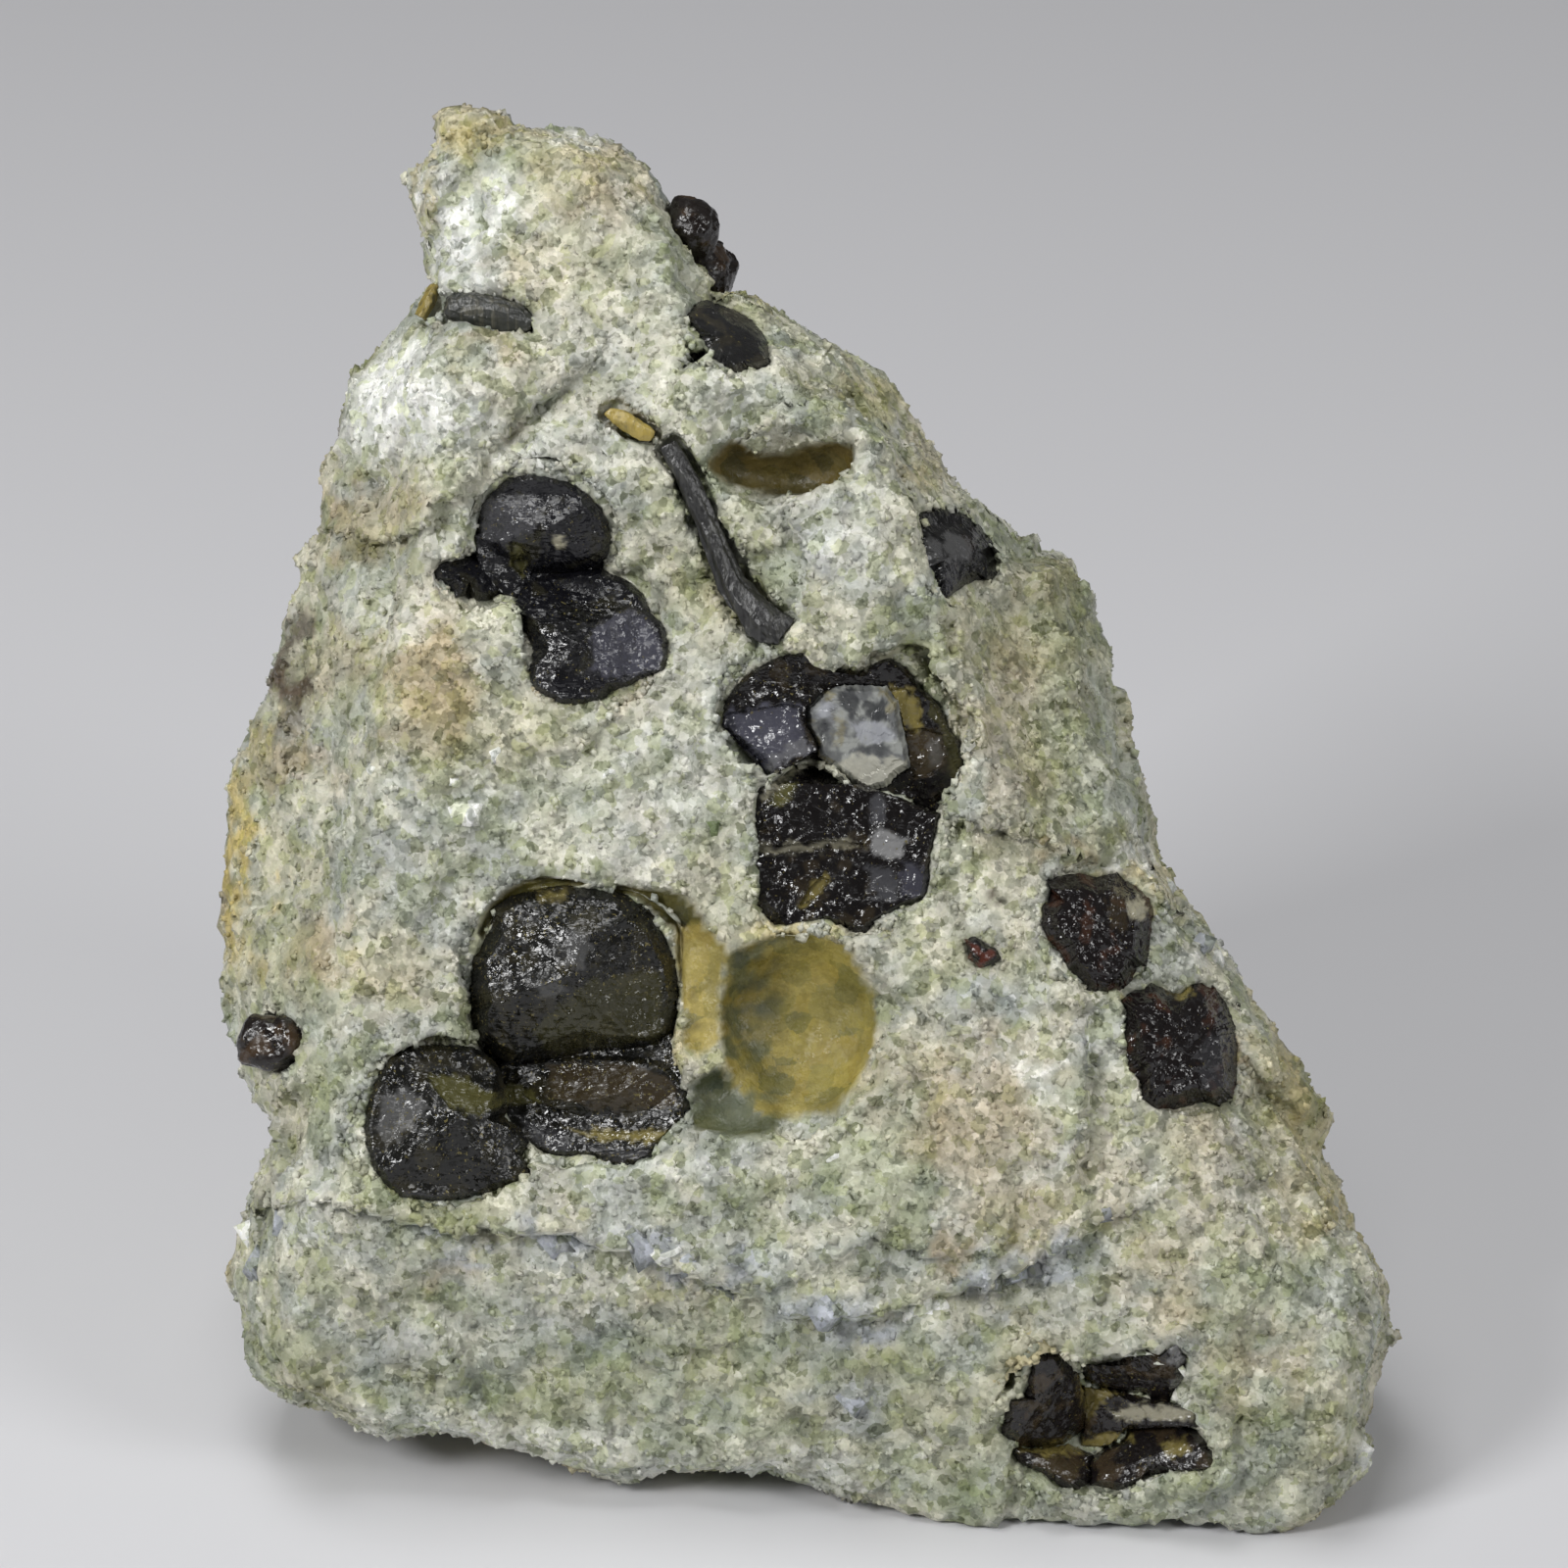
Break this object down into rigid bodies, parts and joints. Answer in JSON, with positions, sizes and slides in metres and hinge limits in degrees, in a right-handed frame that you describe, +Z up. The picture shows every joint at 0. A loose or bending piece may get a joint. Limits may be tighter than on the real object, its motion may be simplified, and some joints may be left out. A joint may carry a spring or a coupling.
{
  "type": "garnet in matrix specimen",
  "caption": "Hand specimen of pale granular rock with dark garnet crystals and a hornblende blade, standing on its flat broken base.",
  "frame": {"origin": "centre of the footprint of the whole specimen's box, on the surface that it stands on", "axes": "+Z up, -Y towards the viewer of the crystal face, +X to that viewer's right"},
  "size_m": [0.0734, 0.0474, 0.0768],
  "materials": {
    "rock": "granular, sugary, pale grey-green with rust and green stains",
    "garnet": "near-black, glassy, striated and pitted",
    "quartz": "milky, glassy",
    "hornblende": "black-green, striated, silky",
    "epidote": "olive-ochre, waxy"
  },
  "bodies": {
    "root": {"matrix_rock": "rock", "garnet_summit": "garnet", "garnet_below_summit": "garnet", "garnet_group_upper": "garnet", "garnet_ridge": "garnet", "garnet_group_centre": "garnet", "garnet_group_lower": "garnet", "garnet_left_edge": "garnet", "garnet_right_upper": "garnet", "garnet_right_lower": "garnet", "garnet_foot": "garnet", "garnet_speck": "garnet", "quartz_core": "quartz", "hornblende_blade": "hornblende", "hornblende_plate": "hornblende", "epidote_chip": "epidote", "epidote_streak": "epidote"}
  },
  "joints": []
}
